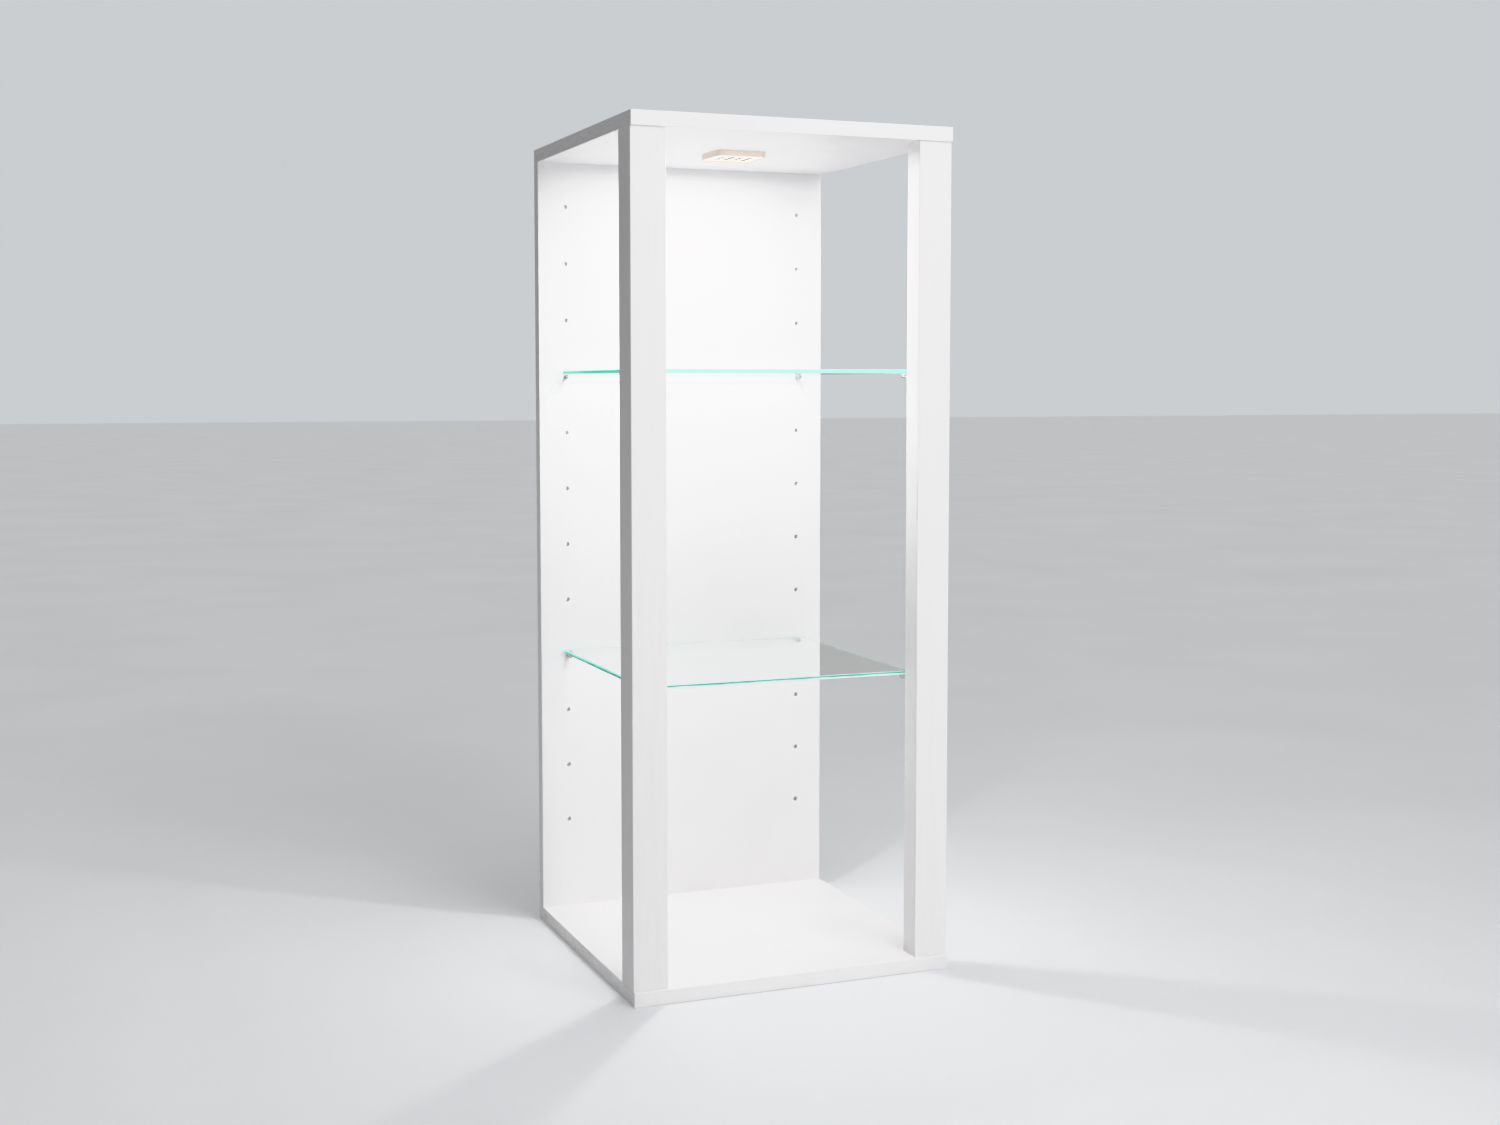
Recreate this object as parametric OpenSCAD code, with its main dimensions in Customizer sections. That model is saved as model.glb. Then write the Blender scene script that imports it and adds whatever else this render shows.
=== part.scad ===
// Wall mounted showcase: two end boards, a drilled back board, two rebated
// front posts, two glass shelves on pins and a flat square LED lamp.
//
// Frame: origin in the middle of the face that lies on the wall, +X to the
// right seen from the front, +Y towards the wall, +Z up. Millimetres.

/* [Cabinet] */
// Outside width
body_w = 350; // [330:10:450]
// Outside depth, from the wall to the front edges of the end boards
body_d = 350; // [300:10:450]
// Outside height
body_h = 885; // [885:1:960]
// Thickness of the three boards
board_t = 15; // [15:1:18]
// Thickness of the edging strips
band_t = 1; // [0.6:0.2:1.2]

/* [Posts] */
// Side of the square posts
post_s = 37; // [36:1:42]
// Distance of the posts behind the front edges of the end boards
post_setback = 3; // [1:1:5]
// Side of the rebate along each post's inner rear corner
rebate_s = 10; // [9:1:12]

/* [Shelves] */
// Thickness of the glass
shelf_t = 4; // [4:1:6]
// Distance of the glass from each side of the cabinet
shelf_inset = 26; // [20:1:28]
// Gap between the posts and the glass
shelf_front_gap = 0.5; // [0.3:0.1:2]
// Gap between the glass and the back board
shelf_rear_gap = 7; // [2:1:8]
// Pin row of the upper shelf, counted from the top
upper_row = 4; // [2:1:5]
// Pin row of the lower shelf, counted from the top
lower_row = 9; // [7:1:11]

/* [Pin holes] */
// Distance between two rows
row_pitch = 64; // [64]
// Rows in each column
row_count = 12; // [11:1:12]
// Distance of a column from the side of the cabinet
column_inset = 32; // [32]
// Radius of a hole
pin_hole_r = 2.5; // [2.5]
// Depth of a hole
pin_hole_l = 10; // [9.5:0.5:11]

/* [Lamp] */
// Side of the square housing
lamp_s = 57; // [55:1:64]
// Height of the housing
lamp_h = 6; // [6:0.5:8]
// Corner radius of the housing
lamp_r = 8; // [6:1:10]
// Distance of the lamp's centre to the right of the middle
lamp_x = 2; // [-20:1:20]
// Distance of the lamp's centre behind the front edge of the top board
lamp_front = 180; // [120:5:200]
// Distance between two LEDs
led_pitch = 10; // [9:0.5:11]

/* [Hangers] */
// Distance between the two keyholes
hanger_span = 240; // [200:10:240]
// Distance of the keyholes below the top of the cabinet
hanger_drop = 96; // [80:1:120]

/* [Hidden] */
$fn = 48;

// Radial clearance of whatever is pushed or screwed into a hole
fit_gap = 0.05;
// How far a cut runs past the face that it opens
cut = 1;
// Spare depth of a hole past the end of its screw
hole_spare = 1.5;

// Cabinet
half_w = body_w / 2;
half_h = body_h / 2;
inner_h = body_h - 2 * board_t;
front_y = -body_d;
back_face_y = -board_t;
post_front_y = front_y + post_setback;
post_rear_y = post_front_y + post_s;
rebate_y = post_rear_y - rebate_s;

// Shelf pins
column_x = half_w - column_inset;
pin_r = pin_hole_r - fit_gap;
pin_plug_l = 9;
rear_pin_shoulder = 4;
pin_chamfer = 0.6;
pin_core_r = 1.9;
pin_head_l = 0.8;
pin_head_chamfer = 0.4;
sleeve_l = 7.2;
sleeve_r = pin_hole_r;
sleeve_bore_r = pin_core_r + fit_gap;

// Cam fittings: a bolt in the end board, its head caught in a lock in the other piece
cam_r = 7.5;
cam_depth = 12.5;
cam_axis_depth = 7.5;
cam_drop = 24;
cam_gap = 0.1;
bolt_thread_r = 3.15;
bolt_root_r = 2.3;
bolt_pitch = 2;
bolt_turns = 5;
bolt_thread_l = 11;
bolt_bore_r = 4;
bolt_collar_r = 3.5;
bolt_collar_l = 2;
bolt_stem_r = 2.6;
bolt_taper_l = 1;
bolt_neck_r = 1.8;
bolt_head_r = 3.3;
cam_head_r = 3.7;
cam_neck_w = 4.4;
cam_swing = 120;
cam_key_r = 2.2;
cam_key_l = 3;
cam_cross_l = 7.6;
cam_cross_w = 1.6;
cam_cross_depth = 1.8;
cap_r = 8.6;
cap_t = 1;
cap_bevel = 0.6;
cap_peg_r = 2.1;
cap_peg_l = 2;
back_cam_x = 80;
post_cam_x = half_w - (post_s - rebate_s) / 2;
// [x, rear face of the piece that holds the lock]
CAMS = [
    [-back_cam_x, 0],
    [back_cam_x, 0],
    [-post_cam_x, post_rear_y],
    [post_cam_x, post_rear_y]
];

// Dowels
dowel_r = 4;
dowel_chamfer = 0.8;
dowel_up = 10;
dowel_down = 20;
dowel_hole_spare = 1;
back_dowel_x = 128;
post_dowel_x = half_w - 17;
post_dowel_y = post_front_y + 12;
DOWELS = [
    [-back_dowel_x, -board_t / 2],
    [back_dowel_x, -board_t / 2],
    [-post_dowel_x, post_dowel_y],
    [post_dowel_x, post_dowel_y]
];

// Keyhole hangers
hanger_w = 20;
hanger_l = 60;
hanger_t = 2;
hanger_gap = 0.2;
hanger_z = half_h - hanger_drop;
key_mouth_r = 5;
key_slot_r = 2.5;
key_rise = 10;
key_pocket_r = 7;
key_pocket_depth = 9;
key_pocket_spare = 4;
hanger_screw_z = 23;
screw_r = 1.6;
screw_head_r = 3.4;
screw_head_l = 1.8;
screw_point_l = 3;
hanger_screw_l = 12;
screw_slot_w = 0.8;
screw_slot_l = 4;
screw_slot_depth = 0.7;

// Lamp
lamp_y = front_y + lamp_front;
lamp_z = half_h - board_t;
lamp_wall = 1.6;
lamp_ledge = 1.4;
lamp_plate_t = 1.5;
lens_t = 1.5;
lens_gap = 0.1;
lamp_board_s = 46;
lamp_board_r = 3;
lamp_board_t = 1;
led_cols = 4;
led_rows = 3;
led_size = [2.8, 3.5, 0.7];
lamp_screw_x = 20;
lamp_screw_r = 1.4;
lamp_screw_head_r = 2.6;
lamp_screw_head_l = 1.3;
lamp_screw_head_bevel = 0.6;
lamp_screw_point_l = 1.5;
lamp_screw_slot_l = 2.8;
lamp_screw_slot_w = 0.7;
lamp_screw_slot_depth = 0.6;
// Depth of the lamp's screws in the top board
lamp_screw_l = 9;
lead_r = 2.5;
// Holes for the lead in the housing and in the lamp's board
lead_plate_r = 3.5;
lead_board_r = 2;
bushing_r = 4;
bushing_flange_r = 6;
bushing_flange_t = 1.2;

// Height of a pin row, counted from the top
function row_z(row) = half_h - row * row_pitch;

// ---------------------------------------------------------------- placing

// Children stand on the inner face of the top board, +Z out of the cabinet
module at_top() {
    translate([0, 0, half_h - board_t]) children();
}

// The same for the bottom board
module at_bottom() {
    mirror([0, 0, 1]) at_top() children();
}

module at_points(points) {
    for (p = points) translate([p[0], p[1], 0]) children();
}

// Children along +Z point towards the wall
module to_wall() {
    rotate([-90, 0, 0]) children();
}

// Children along +Z point to the front
module to_front() {
    rotate([90, 0, 0]) children();
}

// ----------------------------------------------------------------- boards

// Holes of the fittings in the inner face of an end board
module end_board_holes() {
    at_points(DOWELS)
        translate([0, 0, -cut]) cylinder(r = dowel_r, h = dowel_up + dowel_hole_spare + cut);
    for (cam = CAMS)
        translate([cam[0], cam[1] - cam_axis_depth, -cut])
            cylinder(r = bolt_thread_r + fit_gap, h = bolt_thread_l + hole_spare);
}

module end_board() {
    difference() {
        translate([-half_w + band_t, front_y + band_t, 0])
            cube([body_w - 2 * band_t, body_d - band_t, board_t]);
        end_board_holes();
    }
}

// Holes of the fittings in the top end of a piece that meets an end board
module end_holes(cams, dowels) {
    at_points(dowels)
        translate([0, 0, -dowel_down - dowel_hole_spare])
            cylinder(r = dowel_r, h = dowel_down + dowel_hole_spare + cut);
    for (cam = cams) {
        translate([cam[0], cam[1] - cam_axis_depth, -cam_drop])
            cylinder(r = bolt_bore_r, h = cam_drop + cut);
        translate([cam[0], cam[1] + cut, -cam_drop])
            to_front() cylinder(r = cam_r, h = cam_depth + cut);
    }
}

module top_panel() {
    color("white")
        difference() {
            at_top() end_board();
            at_lamp() translate([0, 0, -cut]) {
                cylinder(r = bushing_r + fit_gap, h = board_t + 2 * cut);
                translate([0, 0, cut + board_t - bushing_flange_t])
                    cylinder(r = bushing_flange_r + fit_gap, h = bushing_flange_t + cut);
                at_lamp_screws()
                    cylinder(r = lamp_screw_r + fit_gap, h = lamp_screw_l + hole_spare);
            }
        }
}

module bottom_panel() {
    color("white") at_bottom() end_board();
}

// Recess for a hanger, room behind its keyhole and the holes of its two screws
module hanger_pocket() {
    key_pocket_l = key_rise + 2 * key_pocket_r + key_pocket_spare;
    stadium(hanger_w + 2 * hanger_gap, hanger_l + 2 * hanger_gap, hanger_t, cut);
    translate([0, 0, key_rise / 2])
        stadium(2 * key_pocket_r, key_pocket_l, key_pocket_depth, cut);
    for (end = [-1, 1])
        translate([0, cut, end * hanger_screw_z])
            to_front() cylinder(r = screw_r + fit_gap, h = hanger_screw_l + hole_spare);
}

// Slab with round ends, upright, sunk into the rear face and standing proud of it by extra
module stadium(width, length, depth, extra = 0) {
    r = width / 2;
    straight = length - width;
    translate([0, extra, 0]) to_front() {
        translate([-r, -straight / 2, 0]) cube([width, straight, depth + extra]);
        for (end = [-1, 1])
            translate([0, end * straight / 2, 0]) cylinder(r = r, h = depth + extra);
    }
}

module back_panel() {
    color("white")
        difference() {
            translate([-half_w + band_t, back_face_y, -inner_h / 2])
                cube([body_w - 2 * band_t, board_t, inner_h]);
            for (side = [-1, 1], row = [1:row_count])
                translate([side * column_x, back_face_y - cut, row_z(row)])
                    to_wall() cylinder(r = pin_hole_r, h = pin_hole_l + cut);
            at_top() end_holes([CAMS[0], CAMS[1]], [DOWELS[0], DOWELS[1]]);
            at_bottom() end_holes([CAMS[0], CAMS[1]], [DOWELS[0], DOWELS[1]]);
            for (side = [-1, 1])
                translate([side * hanger_span / 2, 0, hanger_z]) hanger_pocket();
        }
}

module left_post() {
    color("white")
        difference() {
            translate([-half_w, post_front_y, -inner_h / 2]) cube([post_s, post_s, inner_h]);
            translate([-half_w + post_s - rebate_s, rebate_y, -inner_h / 2 - cut])
                cube([rebate_s + cut, rebate_s + cut, inner_h + 2 * cut]);
            for (row = [1:row_count])
                translate([-column_x, rebate_y + cut, row_z(row)])
                    to_front() cylinder(r = pin_hole_r, h = pin_hole_l + cut);
            at_top() end_holes([CAMS[2]], [DOWELS[2]]);
            at_bottom() end_holes([CAMS[2]], [DOWELS[2]]);
        }
}

module right_post() {
    mirror([1, 0, 0]) left_post();
}

// ---------------------------------------------------------------- edging

module end_front_band() {
    color("whitesmoke")
        translate([-half_w, front_y, 0]) cube([body_w, band_t, board_t]);
}

module end_side_band(side) {
    color("whitesmoke")
        translate([side > 0 ? half_w - band_t : -half_w, front_y + band_t, 0])
            cube([band_t, body_d - band_t, board_t]);
}

module back_side_band(side) {
    color("whitesmoke")
        translate([side > 0 ? half_w - band_t : -half_w, back_face_y, -inner_h / 2])
            cube([band_t, board_t, inner_h]);
}

// --------------------------------------------------------------- fittings

module dowels() {
    r = dowel_r - fit_gap;
    end_r = r - dowel_chamfer;
    color("burlywood")
        at_points(DOWELS)
            rotate_extrude()
                polygon([
                    [0, -dowel_down], [end_r, -dowel_down], [r, -dowel_down + dowel_chamfer],
                    [r, dowel_up - dowel_chamfer], [end_r, dowel_up], [0, dowel_up]
                ]);
}

// Round head of a connecting bolt, from its tip to its neck
function bolt_head() =
    let (steps = 5, sweep = 90 + acos(bolt_neck_r / bolt_head_r))
        [for (i = [0:steps])
            let (a = sweep * i / steps - 90)
                [bolt_head_r * cos(a), bolt_head_r * sin(a) - cam_drop]];

// Saw-toothed thread that bites into the end board
function bolt_thread() =
    [for (turn = [0:bolt_turns - 1])
        each [
            [bolt_root_r, turn * bolt_pitch],
            [bolt_thread_r, (turn + 0.5) * bolt_pitch]
        ]];

// Outline of a connecting bolt, its head below and its thread above
function bolt_outline() = concat(
    bolt_head(),
    [
        [bolt_neck_r, -cam_drop + cam_r + bolt_taper_l],
        [bolt_stem_r, -cam_drop + cam_r + 2 * bolt_taper_l],
        [bolt_stem_r, -bolt_collar_l],
        [bolt_collar_r, -bolt_collar_l],
        [bolt_collar_r, 0]
    ],
    bolt_thread(),
    [[bolt_root_r, bolt_turns * bolt_pitch], [0, bolt_thread_l]]
);

module cam_bolts() {
    color("silver")
        for (cam = CAMS)
            translate([cam[0], cam[1] - cam_axis_depth, 0])
                rotate_extrude() polygon(bolt_outline());
}

// One lock, turned shut: the neck of the bolt leaves it straight up
module cam_lock() {
    lock_l = cam_depth - 2 * cam_gap;
    difference() {
        translate([0, -cam_gap, 0]) to_front() cylinder(r = cam_r - cam_gap, h = lock_l);
        translate([0, -cam_axis_depth, 0]) {
            sphere(r = cam_head_r);
            // slot for the neck, along the lock's swing
            rotate([90, 0, 0]) rotate([0, 0, 90 - cam_swing])
                translate([0, 0, -cam_neck_w / 2])
                    rotate_extrude(angle = cam_swing) square([cam_r + cut, cam_neck_w]);
            cylinder(r = cam_neck_w / 2, h = cam_r + cut);
            // way in for the head
            rotate([0, cam_swing, 0]) cylinder(r = cam_head_r, h = cam_r + cut);
        }
        // socket for the driver and for the cover's peg
        translate([0, cut, 0]) to_front() cylinder(r = cam_key_r, h = cam_key_l + cut);
        for (turn = [0, 90])
            rotate([0, turn, 0])
                translate([-cam_cross_l / 2, -cam_cross_depth, -cam_cross_w / 2])
                    cube([cam_cross_l, cam_cross_depth + cut, cam_cross_w]);
    }
}

module cam_locks() {
    color("darkgray")
        for (cam = CAMS) translate([cam[0], cam[1], -cam_drop]) cam_lock();
}

// Covers of the four locks in the posts
module cam_caps() {
    color("white")
        for (flip = [0, 1], cam = [CAMS[2], CAMS[3]])
            mirror([0, 0, flip]) at_top() translate([cam[0], cam[1], -cam_drop])
                to_wall() rotate_extrude()
                    polygon([
                        [0, -cap_peg_l], [cap_peg_r, -cap_peg_l], [cap_peg_r, 0],
                        [cap_r, 0], [cap_r, cap_t - cap_bevel], [cap_r - cap_bevel, cap_t],
                        [0, cap_t]
                    ]);
}

// Keyhole plate of one hanger, let in flush with the rear face
module hanger(side) {
    color("silver")
        translate([side * hanger_span / 2, 0, hanger_z])
            difference() {
                stadium(hanger_w, hanger_l, hanger_t);
                translate([0, cut, 0]) to_front() {
                    slot_l = hanger_t + 2 * cut;
                    cylinder(r = key_mouth_r, h = slot_l);
                    translate([0, key_rise, 0]) cylinder(r = key_slot_r, h = slot_l);
                    translate([-key_slot_r, 0, 0]) cube([2 * key_slot_r, key_rise, slot_l]);
                }
                for (end = [-1, 1])
                    translate([0, 0, end * hanger_screw_z]) to_front() {
                        cylinder(r1 = screw_head_r + fit_gap, r2 = screw_r + fit_gap, h = screw_head_l);
                        cylinder(r = screw_r + fit_gap, h = hanger_t + cut);
                    }
            }
}

// Countersunk screw with a crossed drive, its head's face at z = 0
module wood_screw(length) {
    difference() {
        rotate_extrude()
            polygon([
                [0, 0], [screw_head_r, 0], [screw_r, screw_head_l],
                [screw_r, length - screw_point_l], [0, length]
            ]);
        for (turn = [0, 90])
            rotate([0, 0, turn])
                translate([-screw_slot_l / 2, -screw_slot_w / 2, -cut])
                    cube([screw_slot_l, screw_slot_w, screw_slot_depth + cut]);
    }
}

module hanger_screws() {
    color("gainsboro")
        for (side = [-1, 1], end = [-1, 1])
            translate([side * hanger_span / 2, -fit_gap, hanger_z + end * hanger_screw_z])
                to_front() wood_screw(hanger_screw_l);
}

// ---------------------------------------------------------------- shelves

module shelf(row) {
    color("paleturquoise", 0.5)
        translate([-half_w + shelf_inset, post_rear_y + shelf_front_gap, row_z(row) + sleeve_r])
            cube([
                body_w - 2 * shelf_inset,
                back_face_y - post_rear_y - shelf_front_gap - shelf_rear_gap,
                shelf_t
            ]);
}

// Puts a pin at its hole's mouth, +Z out of the hole
module at_pin_hole(row, side, front) {
    translate([side * column_x, front ? rebate_y : back_face_y, row_z(row)]) {
        if (front) to_wall() children();
        else to_front() children();
    }
}

// The front pins reach past the rebate, the rear pins across the gap, to carry the glass
function pin_shoulder(front) = front ? rebate_s : rear_pin_shoulder;

module shelf_pin(row, side, front) {
    shoulder = pin_shoulder(front);
    head = shoulder + sleeve_l;
    color("silver")
        at_pin_hole(row, side, front)
            rotate_extrude()
                polygon([
                    [0, -pin_plug_l],
                    [pin_r - pin_chamfer, -pin_plug_l],
                    [pin_r, -pin_plug_l + pin_chamfer],
                    [pin_r, shoulder],
                    [pin_core_r, shoulder],
                    [pin_core_r, head],
                    [pin_r, head],
                    [pin_r, head + pin_head_l - pin_head_chamfer],
                    [pin_r - pin_head_chamfer, head + pin_head_l],
                    [0, head + pin_head_l]
                ]);
}

module pin_sleeve(row, side, front) {
    color("aliceblue", 0.6)
        at_pin_hole(row, side, front)
            translate([0, 0, pin_shoulder(front)])
                difference() {
                    cylinder(r = sleeve_r, h = sleeve_l);
                    translate([0, 0, -cut]) cylinder(r = sleeve_bore_r, h = sleeve_l + 2 * cut);
                }
}

// ------------------------------------------------------------------- lamp

module rounded_square(side, r) {
    square([side, side - 2 * r], center = true);
    square([side - 2 * r, side], center = true);
    for (x = [-1, 1], y = [-1, 1])
        translate([x * (side / 2 - r), y * (side / 2 - r)]) circle(r = r);
}

// Rounded slab hanging from z = top, thickness t
module rounded_slab(side, r, top, t) {
    translate([0, 0, top - t]) linear_extrude(height = t) rounded_square(side, r);
}

// Children hang below the top board, z = 0 at its inner face
module at_lamp() {
    translate([lamp_x, lamp_y, lamp_z]) children();
}

module at_lamp_screws() {
    for (side = [-1, 1]) translate([side * lamp_screw_x, 0, 0]) children();
}

module lamp_housing() {
    lens_s = lamp_s - 2 * lamp_wall;
    well_s = lens_s - 2 * lamp_ledge;
    lens_r = lamp_r - lamp_wall;
    color("antiquewhite")
        at_lamp() difference() {
            rounded_slab(lamp_s, lamp_r, 0, lamp_h);
            rounded_slab(well_s, lens_r - lamp_ledge, -lamp_plate_t, lamp_h);
            rounded_slab(lens_s, lens_r, -lamp_h + lens_t + lens_gap, lamp_h);
            translate([0, 0, -lamp_plate_t - cut]) {
                cylinder(r = lead_plate_r, h = lamp_plate_t + 2 * cut);
                at_lamp_screws()
                    cylinder(r = lamp_screw_r + fit_gap, h = lamp_plate_t + 2 * cut);
            }
        }
}

module lamp_board() {
    color("lightgray")
        at_lamp() difference() {
            rounded_slab(lamp_board_s, lamp_board_r, -lamp_plate_t, lamp_board_t);
            translate([0, 0, -lamp_plate_t - lamp_board_t - cut]) {
                cylinder(r = lead_board_r, h = lamp_board_t + 2 * cut);
                at_lamp_screws()
                    cylinder(r = lamp_screw_r + fit_gap, h = lamp_board_t + 2 * cut);
            }
        }
}

module lamp_leds() {
    color("lightyellow")
        at_lamp() for (col = [0:led_cols - 1], row = [0:led_rows - 1])
            translate([
                (col - (led_cols - 1) / 2) * led_pitch - led_size[0] / 2,
                (row - (led_rows - 1) / 2) * led_pitch - led_size[1] / 2,
                -lamp_plate_t - lamp_board_t - led_size[2]
            ])
                cube(led_size);
}

module lamp_lens() {
    side = lamp_s - 2 * lamp_wall - 2 * lens_gap;
    color("white", 0.7)
        at_lamp() rounded_slab(side, lamp_r - lamp_wall - lens_gap, -lamp_h + lens_t + lens_gap, lens_t);
}

// One pan head screw of the lamp, z = 0 under its head, +Z towards its point
module lamp_screw() {
    tip = lamp_board_t + lamp_plate_t + lamp_screw_l;
    difference() {
        rotate_extrude()
            polygon([
                [0, -lamp_screw_head_l],
                [lamp_screw_head_r - lamp_screw_head_bevel, -lamp_screw_head_l],
                [lamp_screw_head_r, -lamp_screw_head_l + lamp_screw_head_bevel],
                [lamp_screw_head_r, 0],
                [lamp_screw_r, 0],
                [lamp_screw_r, tip - lamp_screw_point_l],
                [0, tip]
            ]);
        for (turn = [0, 90])
            rotate([0, 0, turn])
                translate([-lamp_screw_slot_l / 2, -lamp_screw_slot_w / 2, -lamp_screw_head_l - cut])
                    cube([lamp_screw_slot_l, lamp_screw_slot_w, lamp_screw_slot_depth + cut]);
    }
}

module lamp_screws() {
    color("gainsboro")
        at_lamp() at_lamp_screws()
            translate([0, 0, -lamp_plate_t - lamp_board_t]) lamp_screw();
}

// Lines the hole of the lamp's lead, flush with the top of the board
module lead_bushing() {
    color("white")
        at_lamp() difference() {
            union() {
                cylinder(r = bushing_r, h = board_t);
                translate([0, 0, board_t - bushing_flange_t])
                    cylinder(r = bushing_flange_r, h = bushing_flange_t);
            }
            translate([0, 0, -cut]) cylinder(r = lead_r, h = board_t + 2 * cut);
        }
}

// ------------------------------------------------------------------ nodes

top_panel();
bottom_panel();
back_panel();
left_post();
right_post();
at_top() end_front_band();  // top_front_band
at_top() end_side_band(-1);  // top_left_band
at_top() end_side_band(1);  // top_right_band
at_bottom() end_front_band();  // bottom_front_band
at_bottom() end_side_band(-1);  // bottom_left_band
at_bottom() end_side_band(1);  // bottom_right_band
back_side_band(-1);  // back_left_band
back_side_band(1);  // back_right_band
at_top() dowels();  // top_dowels
at_bottom() dowels();  // bottom_dowels
at_top() cam_bolts();  // top_cam_bolts
at_bottom() cam_bolts();  // bottom_cam_bolts
at_top() cam_locks();  // top_cam_locks
at_bottom() cam_locks();  // bottom_cam_locks
cam_caps();
hanger(-1);  // left_hanger
hanger(1);  // right_hanger
hanger_screws();
shelf(upper_row);  // upper_shelf
shelf(lower_row);  // lower_shelf
shelf_pin(upper_row, -1, true);  // upper_front_left_pin
shelf_pin(upper_row, 1, true);  // upper_front_right_pin
shelf_pin(upper_row, -1, false);  // upper_rear_left_pin
shelf_pin(upper_row, 1, false);  // upper_rear_right_pin
shelf_pin(lower_row, -1, true);  // lower_front_left_pin
shelf_pin(lower_row, 1, true);  // lower_front_right_pin
shelf_pin(lower_row, -1, false);  // lower_rear_left_pin
shelf_pin(lower_row, 1, false);  // lower_rear_right_pin
pin_sleeve(upper_row, -1, true);  // upper_front_left_sleeve
pin_sleeve(upper_row, 1, true);  // upper_front_right_sleeve
pin_sleeve(upper_row, -1, false);  // upper_rear_left_sleeve
pin_sleeve(upper_row, 1, false);  // upper_rear_right_sleeve
pin_sleeve(lower_row, -1, true);  // lower_front_left_sleeve
pin_sleeve(lower_row, 1, true);  // lower_front_right_sleeve
pin_sleeve(lower_row, -1, false);  // lower_rear_left_sleeve
pin_sleeve(lower_row, 1, false);  // lower_rear_right_sleeve
lamp_housing();
lamp_board();
lamp_leds();
lamp_lens();
lamp_screws();
lead_bushing();
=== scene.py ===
"""Looks of the wall mounted showcase: white boards, two glass shelves, their pins and an LED lamp.

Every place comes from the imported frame. Lengths are in metres, and MM turns millimetres into them.
"""

import math

import bmesh
import bpy
from mathutils import Matrix, Vector


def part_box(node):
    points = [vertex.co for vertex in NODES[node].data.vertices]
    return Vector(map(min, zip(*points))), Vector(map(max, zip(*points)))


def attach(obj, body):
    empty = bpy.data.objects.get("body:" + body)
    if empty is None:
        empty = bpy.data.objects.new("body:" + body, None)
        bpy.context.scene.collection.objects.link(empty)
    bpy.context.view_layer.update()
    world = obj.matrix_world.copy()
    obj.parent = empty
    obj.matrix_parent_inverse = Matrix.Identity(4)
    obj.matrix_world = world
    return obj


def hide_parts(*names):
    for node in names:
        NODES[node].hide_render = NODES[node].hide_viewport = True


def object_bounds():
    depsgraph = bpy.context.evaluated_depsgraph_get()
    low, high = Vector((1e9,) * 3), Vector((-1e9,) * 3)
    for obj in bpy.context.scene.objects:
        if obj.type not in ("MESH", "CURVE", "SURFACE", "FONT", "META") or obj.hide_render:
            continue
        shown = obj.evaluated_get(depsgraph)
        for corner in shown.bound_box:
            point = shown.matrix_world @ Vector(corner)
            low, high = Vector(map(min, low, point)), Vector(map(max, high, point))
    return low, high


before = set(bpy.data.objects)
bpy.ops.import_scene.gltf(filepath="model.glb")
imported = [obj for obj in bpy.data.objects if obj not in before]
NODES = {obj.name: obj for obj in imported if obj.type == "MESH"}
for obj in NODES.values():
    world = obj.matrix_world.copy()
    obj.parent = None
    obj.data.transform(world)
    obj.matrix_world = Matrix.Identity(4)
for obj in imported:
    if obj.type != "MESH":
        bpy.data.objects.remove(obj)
cad_low, cad_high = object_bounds()

MM = 0.001
LEVELS = ("upper", "lower")
CORNERS = ("front_left", "front_right", "rear_left", "rear_right")
CABINET = "cabinet"

# ------------------------------------------------------------------ shaders


def srgb(red, green, blue):
    """Linear colour of an sRGB colour whose channels run from 0 to 255."""
    return (*[((c / 255 + 0.055) / 1.055) ** 2.4 for c in (red, green, blue)], 1.0)


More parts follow.
